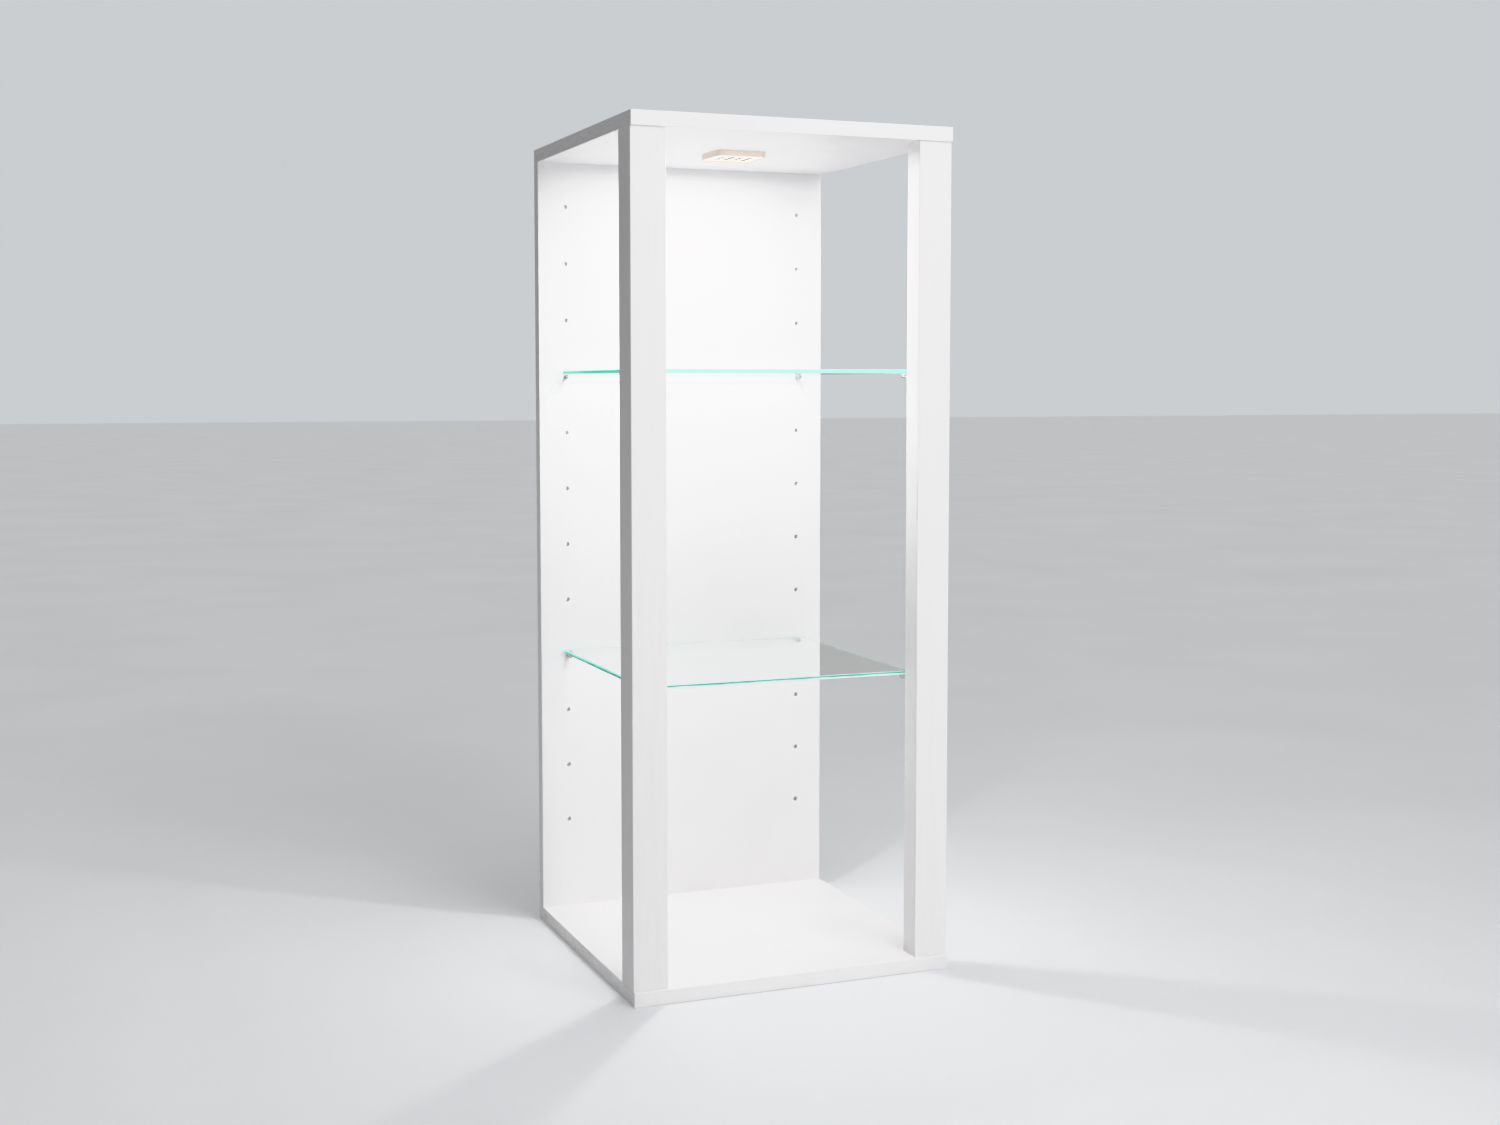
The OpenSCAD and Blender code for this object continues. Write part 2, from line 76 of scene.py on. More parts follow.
class Shader:
    """One material's node tree, built by short calls. Pattern sizes are in millimetres."""

    def __init__(self, name):
        self.material = bpy.data.materials.new(name)
        self.material.use_nodes = True
        self.tree = self.material.node_tree
        self.tree.nodes.clear()

    def add(self, kind, values=None, **settings):
        """A node of that kind, with its settings, and its inputs set or linked."""
        node = self.tree.nodes.new("ShaderNode" + kind)
        for key, value in settings.items():
            setattr(node, key, value)
        for key, value in (values or {}).items():
            if isinstance(value, bpy.types.NodeSocket):
                self.tree.links.new(value, node.inputs[key])
            else:
                node.inputs[key].default_value = value
        return node

    def place(self, stretch=(1, 1, 1)):
        """Millimetres in the row frame, times stretch along each axis."""
        coords = self.add("TexCoord").outputs["Object"]
        scale = [s / MM for s in stretch]
        return self.add("VectorMath", {0: coords, 1: scale}, operation="MULTIPLY").outputs[0]

    def noise(self, size, stretch=(1, 1, 1), detail=3.0):
        """Soft noise with features about size wide, from 0 to 1."""
        values = {"Vector": self.place(stretch), "Scale": 1 / size, "Detail": detail}
        return self.spread(self.add("TexNoise", values).outputs["Fac"], 0, 1, (0.3, 0.7))

    def cells(self, size, stretch=(1, 1, 1)):
        """Cells about size wide, each with a random colour."""
        values = {"Vector": self.place(stretch), "Scale": 1 / size}
        return self.add("TexVoronoi", values).outputs["Color"]

    def spread(self, value, low, high, source=(0, 1)):
        """The value, taken from the range source to the range low to high."""
        values = {0: value, 1: source[0], 2: source[1], 3: low, 4: high}
        return self.add("MapRange", values).outputs[0]

    def maths(self, operation, a, b):
        """What a Math node makes of a and b."""
        return self.add("Math", {0: a, 1: b}, operation=operation).outputs[0]

    def mix(self, factor, a, b):
        """Colour from a to b as factor goes from 0 to 1."""
        return self.add("Mix", {0: factor, 6: a, 7: b}, data_type="RGBA").outputs[2]

    def bump(self, height, depth, normal=None):
        """Normal of a surface with that height pattern, depth millimetres deep."""
        values = {"Height": height, "Distance": depth * MM}
        if normal is not None:
            values["Normal"] = normal
        return self.add("Bump", values).outputs[0]

    def principled(self, **inputs):
        """A Principled shader. The words of an input's name are joined by _ here."""
        values = {name.replace("_", " "): value for name, value in inputs.items()}
        return self.add("BsdfPrincipled", values).outputs[0]

    def see_through(self, body, shade):
        """The shader body, which the light of lamps passes as the colour shade."""
        through = self.add("BsdfTransparent", {"Color": shade}).outputs[0]
        lamp_ray = self.add("LightPath").outputs["Is Shadow Ray"]
        return self.add("MixShader", {0: lamp_ray, 1: body, 2: through}).outputs[0]

    def finish(self, surface, volume=None):
        """The material, with that surface and what fills its inside."""
        values = {"Surface": surface}
        if volume is not None:
            values["Volume"] = volume
        self.add("OutputMaterial", values)
        return self.material


WHITE = srgb(240, 239, 239)
WHITE_SHADE = srgb(234, 233, 233)
SOFT_WHITE = srgb(237, 236, 236)
# A touch darker than the foil's WHITE: painted shade for the boards inside the case.
SHADED_BOARD_WHITE = srgb(235, 234, 235)


def melamine():
    """White melamine face of the boards: pearled skin, its white varying faintly."""
    s = Shader("white_melamine")
    skin = s.bump(s.noise(0.5, detail=2), 0.006)
    # Painted shade: the boards' white is kept a touch darker than the foil's.
    colour = s.mix(s.noise(60), SHADED_BOARD_WHITE, srgb(232, 231, 232))
    rough = s.spread(s.noise(1.6), 0.40, 0.50)
    return s.finish(s.principled(Base_Color=colour, Roughness=rough, Normal=skin))


def foil():
    """White foil round the posts, with a fine grain along them."""
    s = Shader("white_foil")
    grain = s.noise(0.35, (1, 1, 0.02))
    skin = s.bump(grain, 0.005)
    colour = s.mix(s.noise(2.5, (1, 1, 0.03)), WHITE, SOFT_WHITE)
    rough = s.spread(grain, 0.38, 0.46)
    return s.finish(s.principled(Base_Color=colour, Roughness=rough, Normal=skin))


def edging(axis):
    """White edging strip, drawn and scraped along the axis x, y or z."""
    s = Shader("white_edging_" + axis)
    lines = s.noise(0.4, [0.02 if a == axis else 1 for a in "xyz"])
    chatter = s.noise(1.8, [0.6 if a == axis else 0.05 for a in "xyz"], detail=1)
    skin = s.bump(chatter, 0.003, s.bump(lines, 0.005))
    colour = s.mix(s.noise(25), WHITE, SOFT_WHITE)
    rough = s.spread(lines, 0.24, 0.36)
    return s.finish(s.principled(Base_Color=colour, Roughness=rough, Normal=skin))


def chipboard():
    """Raw core: pressed flakes of light and dark wood, with open pores."""
    s = Shader("raw_chipboard")
    flakes = s.cells(1.6, (0.45, 0.45, 1.4))
    tone = s.add("SeparateColor", {0: flakes}).outputs[0]
    dust = s.noise(0.5)
    wood = s.mix(tone, srgb(194, 164, 128), srgb(230, 210, 180))
    colour = s.mix(s.spread(dust, 0, 0.45), wood, srgb(146, 116, 84))
    skin = s.bump(dust, 0.08, s.bump(tone, 0.12))
    return s.finish(s.principled(Base_Color=colour, Roughness=0.9, Normal=skin))


def drilled(name, painted_glow):
    """Inside of pin holes, pale with the dust of the coating and the core. Their glow is painted
    light, standing for the light that gets caught in them."""
    s = Shader(name)
    dust = s.noise(0.4)
    colour = s.mix(dust, srgb(232, 232, 230), srgb(216, 215, 211))
    return s.finish(s.principled(
        Base_Color=colour, Roughness=0.85, Normal=s.bump(dust, 0.04),
        Emission_Color=colour, Emission_Strength=painted_glow,
    ))


GLASS_INDEX = 1.52
FACE_SHADE = (0.935, 0.93, 0.932, 1.0)
EDGE_SHADE = srgb(170, 172, 171)
SHEET_GREEN = {"Color": (0.0, 0.93, 0.86, 1.0), "Density": 1.0}


def pane(s, shade, **inputs):
    """Finishes a shader as glass with those Principled inputs. The light of lamps passes it as the
    colour shade, and the sheet takes a little red out of what goes through it."""
    body = s.principled(IOR=GLASS_INDEX, **inputs)
    return s.finish(s.see_through(body, shade), s.add("VolumeAbsorption", SHEET_GREEN).outputs[0])


def glass_face():
    """Float glass, flat and clear, with the faint smears of a wiped shelf."""
    s = Shader("float_glass")
    smears = s.spread(s.noise(30, (1, 0.3, 1)), 0.0, 0.03, (0.6, 1))
    return pane(
        s, FACE_SHADE, Base_Color=srgb(254, 255, 254), Roughness=smears, Transmission_Weight=1.0
    )


def glass_edge(name, level, upper, lower, painted_glow):
    """Ground and polished edge of one shelf, with fine lines left by the wheel. Its colour is
    painted
    light: what shows in it of reflections and of light through the glass, going from the colour
    lower at its bottom arris to upper at its top one. Its glow is painted light too, for the light
    caught in the sheet."""
    s = Shader(name)
    low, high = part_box(level + "_shelf")
    height = s.add("SeparateXYZ", {0: s.place()}).outputs[2]
    share = s.spread(height, 0, 1, (low.z / MM, high.z / MM))
    wavy = s.maths("ADD", share, s.spread(s.noise(22, (1, 1, 0.1), detail=1), -0.1, 0.1))
    tone = s.mix(s.spread(wavy, 0, 1, (0.34, 0.60)), lower, upper)
    return pane(
        s, EDGE_SHADE, Base_Color=tone, Transmission_Weight=0.35,
        Roughness=s.spread(s.noise(0.6, (1, 1, 3)), 0.10, 0.22),
        Normal=s.bump(s.noise(0.3, (0.2, 0.2, 4)), 0.01),
        Emission_Color=tone, Emission_Strength=painted_glow,
    )


def glass_arris():
    """Matt arris along the edges of the glass, whose pale glow is a painted highlight."""
    s = Shader("ground_glass_arris")
    return pane(
        s, EDGE_SHADE, Base_Color=srgb(226, 250, 246), Transmission_Weight=0.35,
        Roughness=s.spread(s.noise(0.4), 0.30, 0.50), Normal=s.bump(s.noise(0.25), 0.02),
        Emission_Color=srgb(206, 246, 240), Emission_Strength=s.spread(s.noise(5), 0.15, 0.25),
    )


def turned_steel():
    """Nickel-plated turned steel of the pins, ringed across their length."""
    s = Shader("nickel_plated_steel")
    rings = s.noise(0.12, (0.05, 1, 0.05))
    rough = s.spread(rings, 0.14, 0.30)
    colour = s.mix(s.noise(2), srgb(205, 204, 200), srgb(182, 182, 180))
    skin = s.bump(rings, 0.004)
    return s.finish(s.principled(Base_Color=colour, Metallic=1.0, Roughness=rough, Normal=skin))


def plated_steel():
    """Zinc-plated steel of the hangers and screws, faintly blue and yellow."""
    s = Shader("zinc_plated_steel")
    spangle = s.noise(3)
    brushed = s.noise(0.25, (1, 1, 0.08))
    colour = s.mix(spangle, srgb(190, 194, 200), srgb(204, 200, 184))
    rough = s.spread(brushed, 0.24, 0.42)
    skin = s.bump(brushed, 0.008)
    return s.finish(s.principled(Base_Color=colour, Metallic=1.0, Roughness=rough, Normal=skin))


def cast_zinc():
    """Die-cast zinc of the cam fittings, dull and slightly pitted."""
    s = Shader("die_cast_zinc")
    grit = s.noise(0.4)
    colour = s.mix(s.noise(2.2), srgb(158, 160, 162), srgb(126, 128, 131))
    rough = s.spread(grit, 0.42, 0.62)
    skin = s.bump(grit, 0.03)
    return s.finish(s.principled(Base_Color=colour, Metallic=1.0, Roughness=rough, Normal=skin))


def beech():
    """Beech of the dowels: straight grain along them with short dark flecks."""
    s = Shader("beech_dowel")
    grain = s.noise(0.7, (1, 1, 0.05))
    flecks = s.spread(s.noise(0.35, (1, 1, 0.25), detail=1), 0, 0.7, (0.7, 1))
    wood = s.mix(grain, srgb(222, 186, 142), srgb(198, 156, 110))
    colour = s.mix(flecks, wood, srgb(150, 104, 66))
    return s.finish(s.principled(Base_Color=colour, Roughness=0.62, Normal=s.bump(grain, 0.04)))


def moulded_plastic(name, light, dark, rough, grain=0.35, depth=0.012):
    """Injection-moulded plastic with a fine spark-eroded grain."""
    s = Shader(name)
    spark = s.noise(grain)
    colour = s.mix(s.noise(9), light, dark)
    skin = s.bump(spark, depth)
    return s.finish(s.principled(
        Base_Color=colour, Roughness=s.spread(spark, *rough), Normal=skin
    ))


def clear_sleeve():
    """Clear soft plastic of the sleeves, slightly milky."""
    s = Shader("clear_soft_plastic")
    streaks = s.noise(1.2, (1, 0.3, 1))
    body = s.principled(
        Base_Color=s.mix(streaks, srgb(250, 252, 252), srgb(232, 238, 240)),
        Roughness=s.spread(streaks, 0.08, 0.24), IOR=1.49, Transmission_Weight=0.9,
        Normal=s.bump(streaks, 0.01),
    )
    return s.finish(s.see_through(body, srgb(200, 206, 208)))


def glowing(name, light, dark, strength, size):
    """Plastic lit from behind, or phosphor, its light a little uneven over that size."""
    s = Shader(name)
    cloud = s.noise(size)
    colour = s.mix(cloud, light, dark)
    power = s.spread(cloud, strength, strength * 0.85)
    skin = s.bump(s.noise(0.3), 0.01)
    return s.finish(s.principled(
        Base_Color=colour, Roughness=s.spread(cloud, 0.25, 0.35), Normal=skin,
        Emission_Color=colour, Emission_Strength=power,
    ))


def circuit_board():
    """White circuit board with faint copper tracks under its coat."""
    s = Shader("white_circuit_board")
    tracks = s.add("TexBrick", {
        "Vector": s.place(), "Scale": 0.16, "Mortar Size": 0.05, "Color1": srgb(240, 241, 238),
        "Color2": srgb(235, 237, 233), "Mortar": srgb(214, 216, 208),
    })
    skin = s.bump(s.maths("SUBTRACT", 1.0, tracks.outputs["Fac"]), 0.03)
    rough = s.spread(s.noise(2), 0.28, 0.36)
    return s.finish(s.principled(Base_Color=tracks.outputs["Color"], Roughness=rough, Normal=skin))


def stage_paint():
    """Pale matt floor, whose faint glow keeps it even far from the lamps."""
    s = Shader("pale_floor")
    colour = s.mix(s.noise(400), srgb(192, 193, 195), srgb(189, 190, 192))
    return s.finish(s.principled(
        Base_Color=colour, Roughness=0.85, Emission_Color=colour, Emission_Strength=0.45,
    ))


MELAMINE, FOIL, CHIPBOARD = melamine(), foil(), chipboard()
# Painted light: the holes glow, those in the back board more than those in the posts.
BACK_HOLE, POST_HOLE = drilled("drilled_back_board", 0.74), drilled("drilled_post_painted_glow", 0.35)
EDGING = {axis: edging(axis) for axis in "xyz"}
GLASS_FACE, GLASS_ARRIS = glass_face(), glass_arris()
# The edges' tones and glows are painted light: reflections and light through the glass, set apart
# for each shelf and each edge, with the darker tones as painted shade.
PALE, ICE, SEA = srgb(196, 244, 239), srgb(244, 255, 255), srgb(92, 178, 162)
TEAL, TEAL_SHADE = srgb(62, 206, 182), srgb(64, 190, 170)
MINT, BOTTLE_GREEN = srgb(92, 244, 212), srgb(2, 48, 38)
GREY, GREY_SHADE = srgb(170, 182, 172), srgb(160, 168, 160)
GLASS_EDGES = {
    "upper": (
        glass_edge("upper_glass_front_edge", "upper", PALE, PALE, 0.42),
        glass_edge("upper_glass_short_edge", "upper", TEAL, TEAL_SHADE, 0.3),
    ),
    "lower": (
        glass_edge("lower_glass_front_edge", "lower", SEA, ICE, 0.38),
        glass_edge("lower_glass_short_edge", "lower", MINT, BOTTLE_GREEN, 0.6),
    ),
}
# One for both shelves, its tones painted light like the others: its two tones are nearly the same,
# and the lower shelf shows only the second.
REAR_EDGE = glass_edge("glass_rear_edge", "upper", GREY, GREY_SHADE, 0.03)
TURNED_STEEL, PLATED_STEEL, CAST_ZINC = turned_steel(), plated_steel(), cast_zinc()
BEECH, SLEEVE, CIRCUIT = beech(), clear_sleeve(), circuit_board()
WHITE_PLASTIC = moulded_plastic("white_plastic", WHITE, WHITE_SHADE, (0.34, 0.46))
LAMP_PLASTIC = moulded_plastic(
    "champagne_lamp_plastic", srgb(246, 233, 223), srgb(239, 226, 215), (0.30, 0.42)
)
DIFFUSER = glowing("lit_diffuser", srgb(255, 254, 250), srgb(255, 250, 242), 1.1, 9)
CAP_RING = moulded_plastic(
    "led_cap_ring", srgb(84, 80, 76), srgb(60, 57, 54), (0.3, 0.4), grain=0.2, depth=0.01
)
CAP_TIP = glowing("led_cap_tip", srgb(255, 250, 238), srgb(255, 244, 222), 1.6, 0.6)
PHOSPHOR = glowing("led_phosphor", srgb(255, 236, 170), srgb(250, 214, 120), 3.0, 0.8)

# ------------------------------------------------------------------- meshes

WELD = 0.002 * MM
FLAT = math.radians(0.5)
SHARP = math.radians(30)
LONG = 100 * MM  # longer edges are a board's own, not those of its holes
ALIGNED = 0.999  # share of a normal that has to lie along an axis


def make_piece(name, mesh, body, materials, node):
    """A piece made of that bmesh, riding on body and standing for that CAD node."""
    bmesh.ops.recalc_face_normals(mesh, faces=mesh.faces)
    data = bpy.data.meshes.new(name)
    mesh.to_mesh(data)
    mesh.free()
    data.polygons.foreach_set("use_smooth", [True] * len(data.polygons))
    data.set_sharp_from_angle(angle=SHARP)
    piece = bpy.data.objects.new(name, data)
    bpy.context.scene.collection.objects.link(piece)
    for material in materials:
        data.materials.append(material)
    normals = piece.modifiers.new("even_faces", "WEIGHTED_NORMAL")
    normals.keep_sharp = True
    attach(piece, body)
    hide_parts(node)


def bridge(mesh, a, b, paint=0):
    """Faces between two rings of vertices, in the material slot paint."""
    for i in range(len(a)):
        j = (i + 1) % len(a)
        mesh.faces.new((a[i], a[j], b[j], b[i])).material_index = paint


def loft(mesh, rings, loop=False):
    """Joins rings of points into one closed skin, either end to end or capped."""
    made = [[mesh.verts.new(point) for point in ring] for ring in rings]
    for a, b in zip(made, made[1:]):
        bridge(mesh, a, b)
    if loop:
        bridge(mesh, made[-1], made[0])
    else:
        mesh.faces.new(made[0])
        mesh.faces.new(made[-1])


def circle(radius, height, steps=48):
    """Ring of points round the Z axis."""
    turn = 2 * math.pi / steps
    return [
        Vector((radius * math.cos(i * turn), radius * math.sin(i * turn), height))
        for i in range(steps)
    ]


def moved(rings, place):
    """Those rings of points, put in place."""
    return [[place @ point for point in ring] for ring in rings]


def rounded_outline(low, high, radius, height, steps=6):
    """Ring round a rectangle with round corners, low and high being its opposite corners."""
    ring = []
    for corner in range(4):
        x = (high if corner in (0, 3) else low)[0]
        y = (high if corner in (0, 1) else low)[1]
        inward_x = -radius if corner in (0, 3) else radius
        inward_y = -radius if corner in (0, 1) else radius
        for i in range(steps + 1):
            angle = math.pi / 2 * (corner + i / steps)
            ring.append(Vector((
                x + inward_x + radius * math.cos(angle),
                y + inward_y + radius * math.sin(angle),
                height,
            )))
    return ring


def round_off(mesh, edges, width, steps):
    """Rounds those edges off by that width, or chamfers them where steps is 1."""
    bmesh.ops.bevel(
        mesh, geom=edges, offset=width, offset_type="OFFSET", segments=steps,
        profile=0.5, affect="EDGES", clamp_overlap=True,
    )


def refined(node, *rounds):
    """A CAD node's shape as a clean bmesh. Each of rounds is (test, width, steps): the sharp
    edges that pass the test are rounded off by that width."""
    mesh = bmesh.new()
    mesh.from_mesh(NODES[node].data)
    for face in mesh.faces:
        face.material_index = 0
    bmesh.ops.remove_doubles(mesh, verts=mesh.verts, dist=WELD)
    bmesh.ops.dissolve_limit(mesh, angle_limit=FLAT, verts=mesh.verts, edges=mesh.edges)
    for test, width, steps in rounds:
        edges = [
            e for e in mesh.edges
            if e.is_manifold and e.calc_face_angle() > SHARP and e.is_convex and test(e)
        ]
        round_off(mesh, edges, width, steps)
    bmesh.ops.dissolve_degenerate(mesh, dist=WELD, edges=mesh.edges)
    return mesh


def spans(face, axis):
    """How far a face reaches along an axis."""
    values = [v.co[axis] for v in face.verts]
    return max(values) - min(values)


def runs_along(axis):
    """Test for the long edges of a board along an axis."""
    def test(edge):
        a, b = (v.co for v in edge.verts)
        reach = abs(a[axis] - b[axis])
        return reach > LONG and (a - b).length < reach + WELD
    return test


def rims(axis, least):
    """Test for the edges of end faces across an axis, where the sides are longer than least."""
    def test(edge):
        flat = [f for f in edge.link_faces if abs(f.normal[axis]) > ALIGNED]
        upright = [f for f in edge.link_faces if abs(f.normal[axis]) < 1 - ALIGNED]
        return len(flat) == len(upright) == 1 and spans(upright[0], axis) > least
    return test


# -------------------------------------------------------------------- boards

PIN_LOW, PIN_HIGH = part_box("upper_rear_right_pin")
PIN_COLUMN = (PIN_LOW.x + PIN_HIGH.x) / 2
PIN_RADIUS = (PIN_HIGH.x - PIN_LOW.x) / 2
ARRIS = 0.2 * MM
JOINT = 0.5 * MM
POST_ROUND = 0.9 * MM
BAND_ROUND = 0.6 * MM
DEEPEST_HOLE = 30 * MM  # no hole in a post is wider or deeper
CORE, HOLE = 1, 2  # material slots after that of the skin


def paint_raw(mesh, is_skin):
    """Every face that isn't part of the coated skin is raw core, or the inside of a pin hole."""
    for face in mesh.faces:
        if not is_skin(face):
            off_column = abs(abs(face.calc_center_median().x) - PIN_COLUMN)
            face.material_index = HOLE if off_column < PIN_RADIUS + ARRIS else CORE


def on_plane(face, axis, value):
    """Whether a face lies at that value along an axis."""
    return abs(face.calc_center_median()[axis] - value) < ARRIS


def end_board(level):
    """Top or bottom board. Its skin is above and below, and its rear edge is raw."""
    node = level + "_panel"
    low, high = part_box(node)
    across, deep = runs_along(0), runs_along(1)
    mesh = refined(node, (lambda e: across(e) or deep(e), ARRIS, 1))
    paint_raw(mesh, lambda f: on_plane(f, 2, low.z) or on_plane(f, 2, high.z))
    make_piece(level + "_board", mesh, CABINET, [MELAMINE, CHIPBOARD, POST_HOLE], node)


def back_board():
    """Back board, its front chamfered where the end boards meet it. What touches its front or
    rear face counts as skin."""
    node = "back_panel"
    low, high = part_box(node)
    across = runs_along(0)
    mesh = refined(
        node,
        (runs_along(2), ARRIS, 1),
        (lambda e: across(e) and min(v.co.y for v in e.verts) < low.y + WELD, JOINT, 1),
    )
    faces_at = (low.y, high.y)
    paint_raw(mesh, lambda f: min(abs(v.co.y - y) for v in f.verts for y in faces_at) < WELD)
    make_piece("back_board", mesh, CABINET, [MELAMINE, CHIPBOARD, BACK_HOLE], node)


def post(side):
    """Post wrapped in foil over its rounded edges. Its ends and its holes are raw."""
    node = side + "_post"
    low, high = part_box(node)
    mesh = refined(
        node,
        (runs_along(2), POST_ROUND, 4),
        (rims(2, DEEPEST_HOLE), ARRIS, 1),
    )

    def is_foil(face):
        if abs(face.normal.z) > 0.9:
            return False
        outside = any(on_plane(face, axis, at[axis]) for axis in (0, 1) for at in (low, high))
        return outside or spans(face, 2) > DEEPEST_HOLE or spans(face, 2) < 2 * ARRIS

    paint_raw(mesh, is_foil)
    make_piece(side + "_front_post", mesh, CABINET, [FOIL, CHIPBOARD, POST_HOLE], node)


def edging_strip(node, outward, grain):
    """Strip of edging whose outer corners are rounded off. outward is the number of the axis that
    it faces along, and grain the name of the one that it runs along."""
    low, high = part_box(node)
    mesh = bmesh.new()
    middle, size = (low + high) / 2, high - low
    place = Matrix.Translation(middle) @ Matrix.Diagonal((*size, 1))
    bmesh.ops.create_cube(mesh, size=1, matrix=place)
    face_at = high if middle[outward] > 0 else low
    outer = [
        e for e in mesh.edges
        if all(abs(v.co[outward] - face_at[outward]) < WELD for v in e.verts)
    ]
    round_off(mesh, outer, BAND_ROUND, 4)
    name = node.replace("band", "edging")
    make_piece(name, mesh, CABINET, [EDGING[grain]], node)


for level in ("top", "bottom"):
    end_board(level)
    edging_strip(level + "_front_band", 1, "x")
    edging_strip(level + "_left_band", 0, "y")
    edging_strip(level + "_right_band", 0, "y")
back_board()
for side in ("left", "right"):
    post(side)
    edging_strip(f"back_{side}_band", 0, "z")

# ------------------------------------------------------------------- shelves

GLASS_CHAMFER = 0.5 * MM
GLASS_CORNER = 1.6 * MM
FACE, FRONT, SHORT, REAR, SLOPE = range(5)


def glass_part(normal):
    """Which part of a sheet of glass a face with that normal belongs to."""
    if abs(normal.z) > 0.9:
        return FACE
    if abs(normal.z) > 0.1:
        return SLOPE
    if abs(normal.x) > 0.7:
        return SHORT
    return REAR if normal.y > 0 else FRONT


def glass_shelf(level):
    """Sheet of glass with ground arrises and slightly rounded corners."""
    low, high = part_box(level + "_shelf")
    cut = Vector((GLASS_CHAMFER, GLASS_CHAMFER, 0))

    def ring(height, inset):
        return rounded_outline(
            low + cut * inset, high - cut * inset, GLASS_CORNER - inset * GLASS_CHAMFER, height
        )

    mesh = bmesh.new()
    loft(mesh, [
        ring(low.z, 1), ring(low.z + GLASS_CHAMFER, 0),
        ring(high.z - GLASS_CHAMFER, 0), ring(high.z, 1),
    ])
    mesh.normal_update()
    for face in mesh.faces:
        face.material_index = glass_part(face.normal)
    make_piece(
        level + "_glass", mesh, level + "_shelf",
        [GLASS_FACE, *GLASS_EDGES[level], REAR_EDGE, GLASS_ARRIS], level + "_shelf",
    )


PIN_PLUG = 9 * MM
PIN_HEAD = 0.8 * MM
PIN_WAIST = 1.9 * MM
SLEEVE_LENGTH = 7.2 * MM
SLEEVE_BORE = 1.95 * MM


def pin_place(node, start):
    """Frame along a pin's node: +Z out of the hole, and its origin start from the inner end."""
    low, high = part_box(node)
    middle = (low + high) / 2
    out = 1 if "front" in node else -1
    origin = (low.y if out > 0 else high.y) + out * start
    turn = Matrix.Rotation(-out * math.pi / 2, 4, "X")
    return Matrix.Translation((middle.x, origin, middle.z)) @ turn


def arc(radius, height, rounding, steps=3):
    """Profile points of an outer edge rounded off towards +Z, as (radius, height)."""
    points = []
    for i in range(steps + 1):
        angle = math.pi / 2 * i / steps
        points.append((
            radius - rounding + rounding * math.cos(angle),
            height - rounding + rounding * math.sin(angle),
        ))
    return points


def grooves(radius):
    """Profile points of the five grooves round a pin's plug, as (radius, height)."""
    pitch, width, depth = 1.4 * MM, 0.4 * MM, 0.12 * MM
    points = []
    for i in range(1, 6):
        start = -PIN_PLUG + i * pitch
        points += [
            (radius, start), (radius - depth, start + depth),
            (radius - depth, start + width), (radius, start + width + depth),
        ]
    return points


def pin(level, corner):
    """Turned pin: grooved plug, shoulder, waist under its sleeve and a rounded head."""
    node = f"{level}_{corner}_pin"
    low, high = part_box(node)
    radius = (high.x - low.x) / 2
    tip = high.y - low.y - PIN_PLUG
    head = tip - PIN_HEAD
    shoulder = head - SLEEVE_LENGTH
    lead_in, bevel, crown = 0.6 * MM, 0.1 * MM, 0.45 * MM
    profile = [(0.8 * radius, -PIN_PLUG), (radius, -PIN_PLUG + lead_in)]
    profile += grooves(radius)
    profile += [(radius, shoulder - 2.5 * bevel), (radius - 2 * bevel, shoulder)]
    profile += [(PIN_WAIST, shoulder), (PIN_WAIST, head)]
    profile += [(radius - bevel, head), (radius, head + bevel)]
    profile += arc(radius, tip, crown)
    mesh = bmesh.new()
    loft(mesh, moved([circle(r, h) for r, h in profile], pin_place(node, PIN_PLUG)))
    make_piece(f"{level}_{corner}_peg", mesh, node, [TURNED_STEEL], node)


def sleeve(level, corner):
    """Soft tube on a pin, the outer rims of its ends broken."""
    node = f"{level}_{corner}_sleeve"
    low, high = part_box(node)
    outer, length, lip = (high.x - low.x) / 2, high.y - low.y, 0.15 * MM
    profile = [
        (SLEEVE_BORE, 0), (outer - lip, 0), (outer, lip),
        (outer, length - lip), (outer - lip, length), (SLEEVE_BORE, length),
    ]
    mesh = bmesh.new()
    loft(mesh, moved([circle(r, h) for r, h in profile], pin_place(node, 0)), loop=True)
    body = f"{level}_{corner}_pin"
    make_piece(f"{level}_{corner}_tube", mesh, body, [SLEEVE], node)


for level in LEVELS:
    glass_shelf(level)
    for corner in CORNERS:
        pin(level, corner)
        sleeve(level, corner)

# ---------------------------------------------------------------------- lamp

LAMP_LOW, LAMP_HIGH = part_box("lamp_housing")
LAMP_MIDDLE = (LAMP_LOW + LAMP_HIGH) / 2


def lamp_shell():
    """Housing, with the outer edge of its mouth rounded off."""
    rim = 2.5 * MM

    def mouth(edge):
        flat = [f for f in edge.link_faces if f.normal.z < -ALIGNED]
        return len(flat) == 1 and all(abs(v.co.z - LAMP_LOW.z) < WELD for v in edge.verts)

    def outer(edge):
        middle = (edge.verts[0].co + edge.verts[1].co) / 2 - LAMP_MIDDLE
        reach = (LAMP_HIGH.x - LAMP_LOW.x) / 2
        return mouth(edge) and max(abs(middle.x), abs(middle.y)) > reach - rim

    mesh = refined("lamp_housing", (outer, 0.7 * MM, 3))
    make_piece("lamp_shell", mesh, CABINET, [LAMP_PLASTIC], "lamp_housing")


